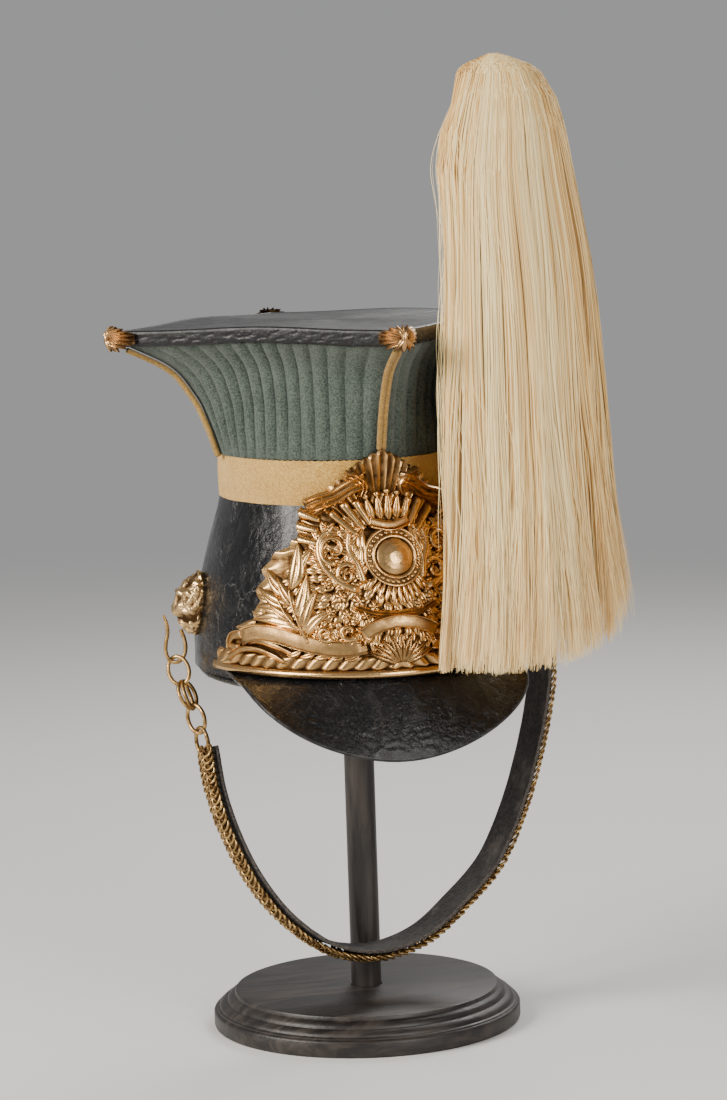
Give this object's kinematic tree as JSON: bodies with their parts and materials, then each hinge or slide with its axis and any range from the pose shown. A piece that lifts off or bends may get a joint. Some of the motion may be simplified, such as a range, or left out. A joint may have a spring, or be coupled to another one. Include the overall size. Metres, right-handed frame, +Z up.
{
  "type": "lance cap on a display stand",
  "caption": "Lancer's full dress cap with a square top, rayed plate, horsehair plume and chin chain, on a turned wooden display stand.",
  "frame": {"origin": "centre of the underside of the stand's foot", "axes": "+Z up along the stand's post; the cap faces -Y; its wearer's left, the plume's side, is +X"},
  "size_m": [0.2707, 0.2707, 0.54],
  "materials": {
    "black_stained_wood": "dark stained, satin",
    "black_patent_leather": "glossy black patent, crackled with age",
    "chin_strap_leather": "matt black leather lining",
    "buff_lace": "twill lace, matt",
    "mustard_cord": "round cord, matt",
    "grey_green_cloth": "flecked wool cloth, matt",
    "gilding_metal": "stamped and gilt, worn bright",
    "old_brass": "tarnished",
    "cream_horsehair": "combed hair, soft sheen"
  },
  "bodies": {
    "root": {"stand_foot": "black_stained_wood", "stand_post": "black_stained_wood", "skull": "black_patent_leather", "rim_binding": "black_patent_leather", "peak": "black_patent_leather", "top_board": "black_patent_leather", "rosette_disc": "black_patent_leather", "waist_band": "buff_lace", "rosette_braid": "buff_lace", "cloth_top": "grey_green_cloth", "plate": "gilding_metal", "lion_boss_right": "gilding_metal", "lion_boss_left": "gilding_metal", "rosette_button": "gilding_metal", "plume_socket": "gilding_metal", "chain_hook_right": "old_brass", "chain_hook_left": "old_brass", "open_links": "old_brass", "ring_chain": "old_brass", "chin_strap": "chin_strap_leather", "plume": "cream_horsehair", "corner_ornament_front": "gilding_metal", "corner_piping_front": "mustard_cord", "corner_ornament_left": "gilding_metal", "corner_piping_left": "mustard_cord", "corner_ornament_back": "gilding_metal", "corner_piping_back": "mustard_cord", "corner_ornament_right": "gilding_metal", "corner_piping_right": "mustard_cord"}
  },
  "joints": []
}
